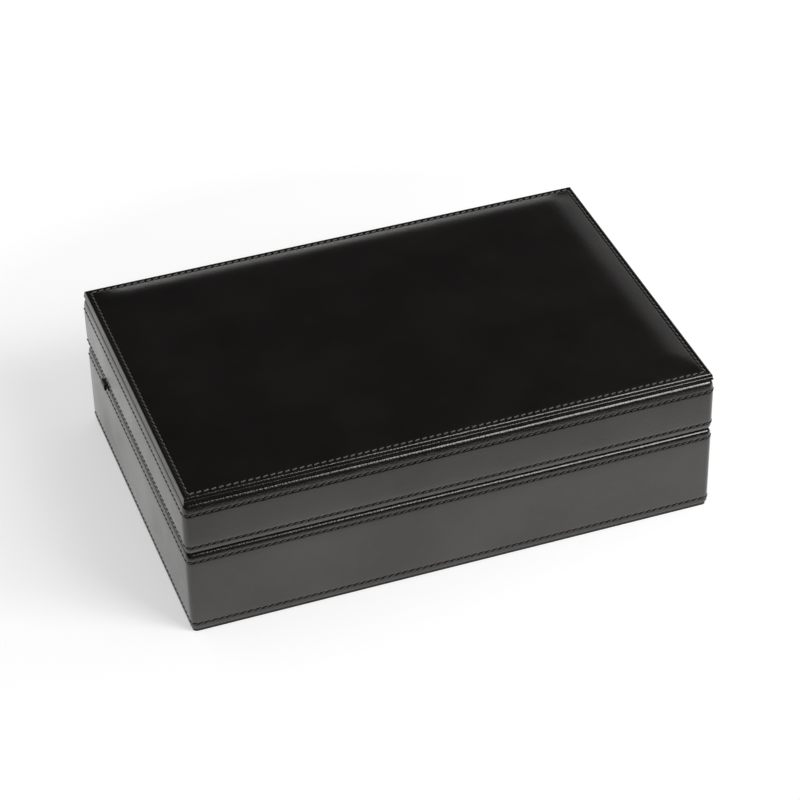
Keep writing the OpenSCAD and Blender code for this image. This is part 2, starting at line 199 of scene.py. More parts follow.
class BoxFinish(bpy.types.PropertyGroup):
    """Colours and gloss that a user may change"""

    leather: FloatVectorProperty(
        name="Leather", description="Colour of the leather", subtype="COLOR",
        default=(0.0066, 0.0057, 0.0054), size=3, min=0.0, max=1.0,
    )
    leather_roughness: FloatProperty(
        name="Leather roughness", description="Roughness of the leather's finish",
        default=0.22, min=0.05, max=1.0, subtype="FACTOR",
    )
    polish: FloatProperty(
        name="Polish", description="Clear polish where the leather has most of it",
        default=0.3, min=0.0, max=1.0, subtype="FACTOR",
    )
    thread: FloatVectorProperty(
        name="Thread", description="Colour of the sewing thread", subtype="COLOR",
        default=(0.045, 0.042, 0.04), size=3, min=0.0, max=1.0,
    )
    lining: FloatVectorProperty(
        name="Lining", description="Colour of the suede-like lining", subtype="COLOR",
        default=(0.045, 0.042, 0.04), size=3, min=0.0, max=1.0,
    )
    ribbon: FloatVectorProperty(
        name="Ribbon", description="Colour of the ribbon stays", subtype="COLOR",
        default=(0.012, 0.012, 0.012), size=3, min=0.0, max=1.0,
    )
    brass: FloatVectorProperty(
        name="Brass", description="Colour of the hinges, screws and tacks", subtype="COLOR",
        default=(0.72, 0.5, 0.2), size=3, min=0.0, max=1.0,
    )
    board: FloatVectorProperty(
        name="Board", description="Colour of the fibreboard", subtype="COLOR",
        default=(0.36, 0.25, 0.15), size=3, min=0.0, max=1.0,
    )


class BoxStage(bpy.types.PropertyGroup):
    """The pale floor and the soft lamps"""

    floor: FloatVectorProperty(
        name="Floor", description="Colour of the floor", subtype="COLOR",
        default=(0.7, 0.7, 0.7), size=3, min=0.0, max=1.0,
    )
    floor_glow: FloatProperty(
        name="Floor glow",
        description="White that the camera and reflections see over the floor's own colour",
        default=0.46, min=0.0, max=1.0, subtype="FACTOR",
    )
    key_power: FloatProperty(
        name="Key", description="Power of the softbox at the front right",
        default=6.5, min=0.0, max=500.0, subtype="POWER", unit="POWER",
    )
    fill_power: FloatProperty(
        name="Fill", description="Power of the wide lamp over the front right",
        default=11.0, min=0.0, max=500.0, subtype="POWER", unit="POWER",
    )
    side_power: FloatProperty(
        name="Side panel", description="Power of the dim panel behind the box on the right",
        default=0.25, min=0.0, max=100.0, subtype="POWER", unit="POWER",
    )
    surround: FloatProperty(
        name="Surround", description="Strength of the even light from all round",
        default=0.45, min=0.0, max=2.0,
    )


# Modelling helpers


def only(obj):
    """Makes obj the one selected and active object."""
    if bpy.context.mode != "OBJECT":
        bpy.ops.object.mode_set(mode="OBJECT")
    bpy.ops.object.select_all(action="DESELECT")
    obj.select_set(True)
    bpy.context.view_layer.objects.active = obj


def named(name):
    """Names the object and the mesh that were just added."""
    obj = bpy.context.active_object
    obj.name = name
    obj.data.name = name
    return obj


def settle(obj):
    """Puts the object's place and size into its mesh."""
    only(obj)
    bpy.ops.object.transform_apply(location=True, rotation=True, scale=True)
    return obj


def apply_modifier(obj, kind, name, **values):
    """Adds a modifier with these values and applies it."""
    only(obj)
    modifier = obj.modifiers.new(name, kind)
    for key, value in values.items():
        setattr(modifier, key, value)
    bpy.ops.object.modifier_apply(modifier=modifier.name)
    return obj


def soften(obj, angle_deg):
    """Shades the faces smooth, apart from edges sharper than the angle."""
    only(obj)
    bpy.ops.object.shade_smooth_by_angle(angle=math.radians(angle_deg))
    return obj


def add_block(name, low, high):
    """A block between two corners."""
    centre = (Vector(low) + Vector(high)) / 2
    size = Vector(high) - Vector(low)
    bpy.ops.mesh.primitive_cube_add(size=1.0, location=centre)
    obj = named(name)
    obj.scale = size
    return settle(obj)


def add_rod(name, x0, x1, y, z, radius, sides=32):
    """A rod along X."""
    bpy.ops.mesh.primitive_cylinder_add(
        vertices=sides, radius=radius, depth=x1 - x0,
        location=((x0 + x1) / 2, y, z), rotation=(0.0, math.radians(90.0), 0.0),
    )
    return settle(named(name))


def bevel_edges(obj, width, segments, chosen=None):
    """Bevels the edges that chosen(edge, mesh) picks, or all of them."""
    only(obj)
    bpy.ops.object.mode_set(mode="EDIT")
    bpy.ops.mesh.select_mode(type="EDGE")
    bpy.ops.mesh.select_all(action="DESELECT")
    mesh = bmesh.from_edit_mesh(obj.data)
    for edge in mesh.edges:
        edge.select_set(chosen is None or chosen(edge))
    bmesh.update_edit_mesh(obj.data)
    bpy.ops.mesh.bevel(offset=width, segments=segments, profile=0.5, affect="EDGES")
    bpy.ops.object.mode_set(mode="OBJECT")
    return obj


def cut_away(obj, cutter):
    """Cuts the cutter's space out of obj and removes the cutter."""
    apply_modifier(obj, "BOOLEAN", "cut", operation="DIFFERENCE", object=cutter, solver="EXACT")
    bpy.data.objects.remove(cutter, do_unlink=True)
    return obj


def rounded_outline(name, half_x, half_y, radius, z, segments, spacing):
    """A flat loop of edges: a rectangle with round corners, in steps along its sides."""
    bpy.ops.mesh.primitive_plane_add(size=2.0, location=(0.0, 0.0, 0.0))
    obj = named(name)
    bpy.ops.object.mode_set(mode="EDIT")
    bpy.ops.mesh.select_all(action="SELECT")
    bpy.ops.transform.resize(value=(half_x, half_y, 1.0), center_override=(0.0, 0.0, 0.0))
    bpy.ops.transform.translate(value=(0.0, 0.0, z))
    bpy.ops.mesh.bevel(offset=radius, segments=segments, profile=0.5, affect="VERTICES")
    bpy.ops.mesh.select_all(action="SELECT")
    bpy.ops.mesh.delete(type="ONLY_FACE")
    for cuts, along in ((round(2 * half_x / spacing), 0), (round(2 * half_y / spacing), 1)):
        bpy.ops.mesh.select_mode(type="EDGE")
        bpy.ops.mesh.select_all(action="DESELECT")
        mesh = bmesh.from_edit_mesh(obj.data)
        for edge in mesh.edges:
            run = abs(edge.verts[0].co[along] - edge.verts[1].co[along])
            edge.select_set(run > 10 * radius)
        bmesh.update_edit_mesh(obj.data)
        bpy.ops.mesh.subdivide(number_cuts=cuts)
    bpy.ops.object.mode_set(mode="OBJECT")
    return obj


def corner_at(depth):
    """Radius and centre of the upright corners at a depth into the wall."""
    radius = max(CORNER_R - depth, 0.4 * MM)
    return radius, Vector((HALF_X - depth - radius, HALF_Y - depth - radius, 0.0))


def select_from(obj, ring, chosen):
    """Selects the points of the ring that chosen(place) picks."""
    mesh = bmesh.from_edit_mesh(obj.data)
    mesh.verts.ensure_lookup_table()
    bpy.ops.mesh.select_all(action="DESELECT")
    for i in ring:
        mesh.verts[i].select_set(chosen(mesh.verts[i].co))
    mesh.select_flush(True)
    bmesh.update_edit_mesh(obj.data)


def draw_in_ring(obj, ring, before, after):
    """Moves a ring of points from one depth to another, with true corners."""
    old_radius, old = corner_at(before)
    new_radius, new = corner_at(after)
    share = new_radius / old_radius
    slack = 0.01 * MM
    for side_x, side_y in ((1, 1), (1, -1), (-1, 1), (-1, -1)):
        centre = Vector((old.x * side_x, old.y * side_y, 0.0))
        target = Vector((new.x * side_x, new.y * side_y, 0.0))
        select_from(obj, ring, lambda p: p.x * side_x > old.x - slack and p.y * side_y > old.y - slack)
        bpy.ops.transform.resize(value=(share, share, 1.0), center_override=centre)
        bpy.ops.transform.translate(value=target - centre)
    step = after - before
    end_x = min(old.x, new.x) - 4 * slack
    end_y = min(old.y, new.y) - 4 * slack
    for side in (1, -1):
        select_from(obj, ring, lambda p: abs(p.x) < end_x and p.y * side > old.y)
        bpy.ops.transform.translate(value=(0.0, -side * step, 0.0))
        select_from(obj, ring, lambda p: abs(p.y) < end_y and p.x * side > old.x)
        bpy.ops.transform.translate(value=(-side * step, 0.0, 0.0))
    select_from(obj, ring, lambda p: True)


def sweep_profile(name, profile, segments, spacing):
    """Carries a closed profile of (depth inwards, height) points round the box's walls."""
    depth, height = 0.0, profile[0][1]
    obj = rounded_outline(name, HALF_X, HALF_Y, CORNER_R, height, segments, spacing)
    bpy.ops.object.mode_set(mode="EDIT")
    bpy.ops.mesh.select_mode(type="VERT")
    bpy.ops.mesh.select_all(action="SELECT")
    draw_in_ring(obj, range(len(obj.data.vertices)), depth, profile[0][0])
    depth = profile[0][0]
    for new_depth, new_height in profile[1:]:
        bpy.ops.mesh.extrude_region_move(
            TRANSFORM_OT_translate={"value": (0.0, 0.0, new_height - height)}
        )
        if new_depth != depth:
            mesh = bmesh.from_edit_mesh(obj.data)
            ring = [vertex.index for vertex in mesh.verts if vertex.select]
            draw_in_ring(obj, ring, depth, new_depth)
        depth, height = new_depth, new_height
    mesh = bmesh.from_edit_mesh(obj.data)
    bpy.ops.mesh.select_mode(type="EDGE")
    bpy.ops.mesh.select_all(action="DESELECT")
    for edge in mesh.edges:
        edge.select_set(edge.is_boundary)
    bmesh.update_edit_mesh(obj.data)
    bpy.ops.mesh.bridge_edge_loops()
    bpy.ops.mesh.select_all(action="SELECT")
    bpy.ops.mesh.normals_make_consistent(inside=False)
    bpy.ops.object.mode_set(mode="OBJECT")
    return obj


# Profiles of the leather, as (depth inwards, height) points


def rolled_in(roll, away):
    """Depth of a rolled edge at a distance from it."""
    away /= MM
    for (near, near_depth), (far, far_depth) in zip(roll, roll[1:]):
        if near <= away <= far:
            return MM * (near_depth + (far_depth - near_depth) * (away - near) / (far - near))
    return roll[0][1] * MM if away < 0 else 0.0


def wall_face(low, high, low_roll, high_roll, rows, pinch):
    """Up the outside of a wall: a roll at each edge and a drawn-in groove at each stitch row."""
    heights = [low + away * MM for away, depth in low_roll]
    heights += [high - away * MM for away, depth in high_roll]
    steps = (-2.4, -1.6, -1.0, -0.6, -0.3, 0.0, 0.3, 0.6, 1.0, 1.6, 2.4)
    heights += [row + step * MM for row in rows for step in steps]
    count = round((high - low) / (6 * MM))
    heights += [low + (high - low) * i / count for i in range(1, count)]
    kept = []
    for height in sorted(height for height in heights if low <= height <= high):
        if not kept or height - kept[-1] > 0.04 * MM or height == high:
            kept.append(height)
    face = []
    for height in kept:
        depth = rolled_in(low_roll, height - low) + rolled_in(high_roll, high - height)
        for row in rows:
            gap = (height - row) / MM
            depth += pinch * (0.7 * math.exp(-(gap / 0.55) ** 2) + 0.3 * math.exp(-(gap / 1.7) ** 2))
        face.append((depth, height))
    return face


def base_profile(shape):
    """The base's leather: up the outside, over the rim and down behind, to the foot."""
    foot, rim = BASE_LOW.z, BASE_HIGH.z
    rows = (foot + shape.foot_row, rim - shape.rim_row)
    face = wall_face(foot, rim, EDGE_TURN, RIM_ROLL, rows, shape.pinch)
    over_rim = [(BOARD_IN, rim), (BOARD_IN, rim - TURN), (BOARD_OUT, rim - TURN)]
    return face + over_rim + [(BOARD_OUT, foot + TURN), (BOARD_IN, foot + TURN), (BOARD_IN, foot)]


def lid_profile(shape):
    """The lid's leather: up the outside, over under the panel and down behind, to the rim."""
    rim, top = LID_LOW.z, LID_HIGH.z
    rows = (rim + shape.rim_row, top - shape.top_row)
    face = wall_face(rim, top, RIM_ROLL, TOP_ROLL, rows, shape.pinch)
    over_top = [(BOARD_IN, top), (BOARD_IN, top - TURN), (TOP_BOARD_OUT, top - TURN)]
    over_top += [(TOP_BOARD_OUT, TOP_BOARD_Z), (BOARD_OUT, TOP_BOARD_Z)]
    return face + over_top + [(BOARD_OUT, rim + TURN), (BOARD_IN, rim + TURN), (BOARD_IN, rim)]


# Materials


def node_group(name, inputs, outputs):
    """A new shader group with these (kind, name) sockets."""
    group = bpy.data.node_groups.new(name, "ShaderNodeTree")
    for kind, label, default in inputs:
        socket = group.interface.new_socket(label, in_out="INPUT", socket_type=kind)
        if default is not None:
            socket.default_value = default
    for kind, label in outputs:
        group.interface.new_socket(label, in_out="OUTPUT", socket_type=kind)
    group.nodes.new("NodeGroupInput")
    group.nodes.new("NodeGroupOutput")
    return group


def joined(tree, node, **links):
    """Links other sockets into a node's named inputs."""
    for label, source in links.items():
        tree.links.new(source, node.inputs[label.replace("_", " ")])
    return node


def maths(tree, operation, a, b=None, c=None, clamp=False):
    """A Math node on sockets or plain numbers."""
    node = tree.nodes.new("ShaderNodeMath")
    node.operation = operation
    node.use_clamp = clamp
    for socket, value in zip(node.inputs, (a, b, c)):
        if isinstance(value, (int, float)):
            socket.default_value = value
        elif value is not None:
            tree.links.new(value, socket)
    return node.outputs[0]


def noise(tree, vector, scale, detail=2.0, rough=0.5):
    """A noise texture's value."""
    node = tree.nodes.new("ShaderNodeTexNoise")
    node.inputs["Scale"].default_value = scale if isinstance(scale, (int, float)) else 1.0
    if not isinstance(scale, (int, float)):
        tree.links.new(scale, node.inputs["Scale"])
    node.inputs["Detail"].default_value = detail
    node.inputs["Roughness"].default_value = rough
    tree.links.new(vector, node.inputs["Vector"])
    return node.outputs["Fac"]


def leather_grain():
    """Group: the pebbled grain and soft creases of smooth leather, and its clouds of tone and polish."""
    group = node_group(
        "Leather grain",
        [
            ("NodeSocketVector", "Vector", None),
            ("NodeSocketFloat", "Pebbles per metre", 900.0),
            ("NodeSocketFloat", "Creases per metre", 160.0),
            ("NodeSocketFloat", "Crease share", 0.5),
        ],
        [("NodeSocketFloat", "Height"), ("NodeSocketFloat", "Tone"), ("NodeSocketFloat", "Polish")],
    )
    source, sink = group.nodes["Group Input"], group.nodes["Group Output"]
    place = source.outputs["Vector"]
    cells = group.nodes.new("ShaderNodeTexVoronoi")
    cells.feature = "F1"
    cells.inputs["Randomness"].default_value = 1.0
    joined(group, cells, Vector=place, Scale=source.outputs["Pebbles per metre"])
    pebbles = maths(group, "SUBTRACT", 1.0, cells.outputs["Distance"], clamp=True)
    creases = noise(group, place, source.outputs["Creases per metre"], 4.0, 0.62)
    share = source.outputs["Crease share"]
    rest = maths(group, "SUBTRACT", 1.0, share)
    height = maths(
        group, "ADD", maths(group, "MULTIPLY", pebbles, rest), maths(group, "MULTIPLY", creases, share)
    )
    group.links.new(height, sink.inputs["Height"])
    group.links.new(noise(group, place, 28.0, 3.0, 0.55), sink.inputs["Tone"])
    group.links.new(noise(group, place, 17.0, 5.0, 0.6), sink.inputs["Polish"])
    return group


def soft_speckle():
    """Group: fine specks over broad soft patches, for nap, fibre and wear."""
    group = node_group(
        "Soft speckle",
        [
            ("NodeSocketVector", "Vector", None),
            ("NodeSocketFloat", "Specks per metre", 2500.0),
            ("NodeSocketFloat", "Patches per metre", 40.0),
        ],
        [("NodeSocketFloat", "Specks"), ("NodeSocketFloat", "Patches")],
    )
    source, sink = group.nodes["Group Input"], group.nodes["Group Output"]
    place = source.outputs["Vector"]
    for name, rough in (("Specks", 0.6), ("Patches", 0.5)):
        value = noise(group, place, source.outputs[name + " per metre"], 3.0, rough)
        group.links.new(value, sink.inputs[name])
    return group


def placed_group(tree, name, maker, **values):
    """One placement of a shared group, fed with the object's own coordinates."""
    group = bpy.data.node_groups.get(name) or maker()
    node = tree.nodes.new("ShaderNodeGroup")
    node.node_tree = group
    coords = tree.nodes.new("ShaderNodeTexCoord")
    tree.links.new(coords.outputs["Object"], node.inputs["Vector"])
    for label, value in values.items():
        node.inputs[label.replace("_", " ")].default_value = value
    return node


def new_material(name):
    """An empty material with its Principled shader."""
    material = bpy.data.materials.new(name)
    material.use_nodes = True
    tree = material.node_tree
    return material, tree, tree.nodes["Principled BSDF"]


def mixed_colour(tree, factor, dark, light):
    """A colour between two others, by a factor socket."""
    mix = tree.nodes.new("ShaderNodeMix")
    mix.data_type = "RGBA"
    mix.inputs["A"].default_value = (*dark, 1.0)
    mix.inputs["B"].default_value = (*light, 1.0)
    tree.links.new(factor, mix.inputs["Factor"])
    return mix.outputs["Result"]


def ranged(tree, value, low, high, from_low=0.3, from_high=0.7):
    """A value moved from one range to another."""
    node = tree.nodes.new("ShaderNodeMapRange")
    node.inputs["From Min"].default_value = from_low
    node.inputs["From Max"].default_value = from_high
    node.inputs["To Min"].default_value = low
    node.inputs["To Max"].default_value = high
    tree.links.new(value, node.inputs["Value"])
    return node.outputs["Result"]


def bumped(tree, shader, height, distance, strength=1.0):
    """Feeds a height into the shader's normal."""
    bump = tree.nodes.new("ShaderNodeBump")
    bump.inputs["Distance"].default_value = distance
    bump.inputs["Strength"].default_value = strength
    tree.links.new(height, bump.inputs["Height"])
    tree.links.new(bump.outputs["Normal"], shader.inputs["Normal"])


def shade(colour, amount):
    """The colour times an amount."""
    return tuple(min(1.0, channel * amount) for channel in colour)


def leather_material(name, finish, roughness_shift, pebbles, bump):
    """Smooth black leather with a worked gloss."""
    material, tree, shader = new_material(name)
    grain = placed_group(
        tree, "Leather grain", leather_grain,
        Pebbles_per_metre=pebbles, Creases_per_metre=170.0, Crease_share=0.55,
    )
    tone = ranged(tree, grain.outputs["Tone"], 0.0, 1.0)
    colour = mixed_colour(tree, tone, shade(finish.leather, 0.8), shade(finish.leather, 1.25))
    tree.links.new(colour, shader.inputs["Base Color"])
    rough = finish.leather_roughness + roughness_shift
    gloss = ranged(tree, grain.outputs["Tone"], rough - 0.03, rough + 0.03)
    tree.links.new(gloss, shader.inputs["Roughness"])
    shader.inputs["IOR"].default_value = 1.7
    shader.inputs["Specular Tint"].default_value = (1.0, 0.975, 0.955, 1.0)
    polish = ranged(tree, grain.outputs["Polish"], 0.0, finish.polish, 0.35, 0.65)
    tree.links.new(polish, shader.inputs["Coat Weight"])
    shader.inputs["Coat Roughness"].default_value = 0.1
    shader.inputs["Coat Tint"].default_value = (1.0, 0.975, 0.95, 1.0)
    bumped(tree, shader, grain.outputs["Height"], bump)
    return material


def cover_material(finish):
    """Matt leathercloth of the underside."""
    material, tree, shader = new_material("Underside leathercloth")
    grain = placed_group(
        tree, "Leather grain", leather_grain,
        Pebbles_per_metre=1400.0, Creases_per_metre=300.0, Crease_share=0.3,
    )
    tone = ranged(tree, grain.outputs["Tone"], 0.0, 1.0)
    colour = mixed_colour(tree, tone, shade(finish.leather, 0.9), shade(finish.leather, 1.5))
    tree.links.new(colour, shader.inputs["Base Color"])
    shader.inputs["Roughness"].default_value = 0.6
    bumped(tree, shader, grain.outputs["Height"], 0.08 * MM)
    return material


def thread_material(name, colour_of_thread):
    """Waxed thread with its twist."""
    material, tree, shader = new_material(name)
    specks = placed_group(
        tree, "Soft speckle", soft_speckle, Specks_per_metre=3500.0, Patches_per_metre=60.0
    )
    factor = ranged(tree, specks.outputs["Specks"], 0.0, 1.0)
    colour = mixed_colour(tree, factor, shade(colour_of_thread, 0.7), shade(colour_of_thread, 1.3))
    tree.links.new(colour, shader.inputs["Base Color"])
    shader.inputs["Roughness"].default_value = 0.5
    bumped(tree, shader, specks.outputs["Specks"], 0.05 * MM)
    return material


def lining_material(finish):
    """Suede-like lining with a soft nap."""
    material, tree, shader = new_material("Suede lining")
    specks = placed_group(
        tree, "Soft speckle", soft_speckle, Specks_per_metre=1800.0, Patches_per_metre=22.0
    )
    patches = ranged(tree, specks.outputs["Patches"], 0.0, 1.0, 0.35, 0.65)
    colour = mixed_colour(tree, patches, shade(finish.lining, 0.9), shade(finish.lining, 1.12))
    tree.links.new(colour, shader.inputs["Base Color"])
    shader.inputs["Roughness"].default_value = 0.92
    shader.inputs["Sheen Weight"].default_value = 0.35
    shader.inputs["Sheen Roughness"].default_value = 0.45
    bumped(tree, shader, specks.outputs["Specks"], 0.15 * MM)
    return material


def ribbon_material(finish):
    """Ribbed ribbon: fine cords across its width."""
    material, tree, shader = new_material("Ribbed ribbon")
    specks = placed_group(
        tree, "Soft speckle", soft_speckle, Specks_per_metre=2600.0, Patches_per_metre=50.0
    )
    uv = tree.nodes.new("ShaderNodeUVMap")
    uv.uv_map = "UVMap"
    ribs = tree.nodes.new("ShaderNodeTexWave")
    ribs.bands_direction = "X"
    ribs.inputs["Scale"].default_value = 40.0
    ribs.inputs["Distortion"].default_value = 0.0
    tree.links.new(uv.outputs["UV"], ribs.inputs["Vector"])
    dark, light = shade(finish.ribbon, 0.7), shade(finish.ribbon, 1.6)
    colour = mixed_colour(tree, specks.outputs["Specks"], dark, light)
    tree.links.new(colour, shader.inputs["Base Color"])
    shader.inputs["Roughness"].default_value = 0.55
    shader.inputs["Sheen Weight"].default_value = 0.3
    bumped(tree, shader, ribs.outputs["Fac"], 0.12 * MM)
    return material


def brass_material(finish):
    """Polished brass, a little dulled in patches."""
    material, tree, shader = new_material("Polished brass")
    specks = placed_group(
        tree, "Soft speckle", soft_speckle, Specks_per_metre=3000.0, Patches_per_metre=120.0
    )
    patches = ranged(tree, specks.outputs["Patches"], 0.0, 1.0)
    colour = mixed_colour(tree, patches, shade(finish.brass, 0.92), shade(finish.brass, 1.04))
    tree.links.new(colour, shader.inputs["Base Color"])
    tree.links.new(ranged(tree, specks.outputs["Patches"], 0.28, 0.42), shader.inputs["Roughness"])
    shader.inputs["Metallic"].default_value = 1.0
    bumped(tree, shader, specks.outputs["Specks"], 0.003 * MM)
    return material


def fibre_material(name, colour, specks_per_metre, roughness):
    """Pressed fibre: board, card or foam."""
    material, tree, shader = new_material(name)
    specks = placed_group(
        tree, "Soft speckle", soft_speckle, Specks_per_metre=specks_per_metre, Patches_per_metre=30.0
    )
    factor = ranged(tree, specks.outputs["Specks"], 0.0, 1.0)
    mixed = mixed_colour(tree, factor, shade(colour, 0.72), shade(colour, 1.2))
    tree.links.new(mixed, shader.inputs["Base Color"])
    shader.inputs["Roughness"].default_value = roughness
    bumped(tree, shader, specks.outputs["Specks"], 0.08 * MM)
    return material


def kept_material(name, maker, *arguments):
    """The material of that name, made the first time it is asked for."""
    return bpy.data.materials.get(name) or maker(*arguments)


def wall_leather(finish):
    return kept_material("Wall leather", leather_material, "Wall leather", finish, 0.0, 850.0, 0.14 * MM)


def panel_leather(finish):
    return kept_material("Panel leather", leather_material, "Panel leather", finish, 0.0, 850.0, 0.14 * MM)


def dress(obj, material, body, slot, *nodes):
    """Gives a finished piece its material and its body, and hides the solids it stands for. The slot is not
    used.
    """
    obj.data.materials.clear()
    obj.data.materials.append(material)
    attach(obj, body)
    if nodes:
        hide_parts(*nodes)
    return obj


# Operators


class BOX_OT_wrap_walls(bpy.types.Operator):
    """Wraps the base and the lid in leather, with drawn-in stitch rows and rolled edges"""

    bl_idname = "box.wrap_walls"
    bl_label = "Wrap the walls"

    def execute(self, context):
        shape, finish = context.scene.box_shape, context.scene.box_finish
        leather = wall_leather(finish)
        for name, body, profile, leaf_z in (
            ("base_leather", "base", base_profile(shape), BASE_HIGH.z - TURN),
            ("lid_leather", "lid", lid_profile(shape), LID_LOW.z),
        ):
            obj = sweep_profile(name, profile, shape.corner_segments, 6 * MM)
            for barrel, leaf in ((LEFT_BARREL, LEFT_LEAF), (RIGHT_BARREL, RIGHT_LEAF)):
                x0, x1 = barrel[0].x - BARREL_END_ROOM, barrel[1].x + BARREL_END_ROOM
                cut_away(obj, add_rod("barrel_room", x0, x1, AXIS_Y, AXIS_Z, BARREL_ROOM))
                low = (leaf[0].x - LEAF_ROOM, leaf[0].y - LEAF_ROOM, leaf_z - LEAF_DEPTH_ROOM)
                high = (leaf[1].x + LEAF_ROOM, HALF_Y + 1 * MM, leaf_z + TURN + LEAF_DEPTH_ROOM)
                cut_away(obj, add_block("leaf_room", low, high))
            soften(obj, 38.0)
            dress(obj, leather, body, "wall_leather", body + "_wall_leather")
        return {"FINISHED"}


class BOX_OT_pad_panel(bpy.types.Operator):
    """Makes the two layers of the padded top panel"""

    bl_idname = "box.pad_panel"
    bl_label = "Pad the top panel"

    def execute(self, context):
        shape, finish = context.scene.box_shape, context.scene.box_finish
        leather = panel_leather(finish)
        lower = add_block("panel_lower_layer", BACKING_LOW, BACKING_HIGH)
        only(lower)
        bpy.ops.object.mode_set(mode="EDIT")
        bpy.ops.mesh.select_mode(type="VERT")
        select_from(lower, range(8), lambda p: p.z > BACKING_LOW.z + MM)
        lean = 0.35 * MM
        scale = (1 - lean / BACKING_HIGH.x, 1 - lean / BACKING_HIGH.y, 1.0)
        bpy.ops.transform.resize(value=scale, center_override=(0.0, 0.0, BACKING_HIGH.z))
        bpy.ops.object.mode_set(mode="OBJECT")
        top = BACKING_HIGH.z - 0.1 * MM
        bevel_edges(lower, 0.75 * MM, 6, lambda edge: min(v.co.z for v in edge.verts) > top)
        soften(lower, 40.0)
        dress(lower, leather, "lid", "panel_leather", "lid_panel_backing")
        skin = self.padded_skin(shape)
        soften(skin, 50.0)
        dress(skin, leather, "lid", "panel_leather", "lid_panel_leather")
        return {"FINISHED"}

    def lines(self, half):
        """Grid lines across the panel, close together at its edges."""
        near = [step * MM for step in PANEL_LINES]
        inner = half - near[-1]
        across = [-inner + 2 * inner * i / PANEL_MIDDLE for i in range(1, PANEL_MIDDLE)]
        return [step - half for step in near] + across + [half - step for step in reversed(near)]

    def padded_skin(self, shape):
        """The top leather as one closed skin."""
        half = Vector((SKIN_HIGH.x, SKIN_HIGH.y))
        xs, ys = self.lines(half.x), self.lines(half.y)
        bpy.ops.mesh.primitive_grid_add(x_subdivisions=len(xs) - 1, y_subdivisions=len(ys) - 1, size=2.0)
        obj = named("padded_panel")
        for vertex in obj.data.vertices:
            i = round((vertex.co.x + 1) / 2 * (len(xs) - 1))
            j = round((vertex.co.y + 1) / 2 * (len(ys) - 1))
            x, y = xs[i], ys[j]
            vertex.co = (x, y, self.height(x, y, half, shape))
        only(obj)
        bpy.ops.object.mode_set(mode="EDIT")
        bpy.ops.mesh.select_mode(type="EDGE")
        bpy.ops.mesh.select_all(action="SELECT")
        bpy.ops.mesh.region_to_loop()
        drop = PANEL_EDGE_Z - EDGE_TURN[0][1] * MM - SKIN_LOW.z
        bpy.ops.mesh.extrude_region_move(TRANSFORM_OT_translate={"value": (0.0, 0.0, -drop)})
        bpy.ops.mesh.edge_face_add()
        bpy.ops.mesh.select_all(action="SELECT")
        bpy.ops.mesh.normals_make_consistent(inside=False)
        bpy.ops.object.mode_set(mode="OBJECT")
        return obj

    def height(self, x, y, half, shape):
        """The skin's surface: a turned edge, a drawn-in row and the crown of the padding."""
        from_edge = (half.x - abs(x), half.y - abs(y))
        near = min(from_edge)
        drop = rolled_in(EDGE_TURN, near)
        row = (near - shape.panel_row) / (0.9 * MM)
        groove = shape.pinch * math.exp(-row * row)
        swell = 1.0
        for distance in from_edge:
            share = min(1.0, max(0.0, (distance - PAD_MARGIN + 0.6 * MM) / PAD_WIDTH))
            swell *= math.sin(share * math.pi / 2)
        return PANEL_EDGE_Z - drop - groove + CROWN * swell


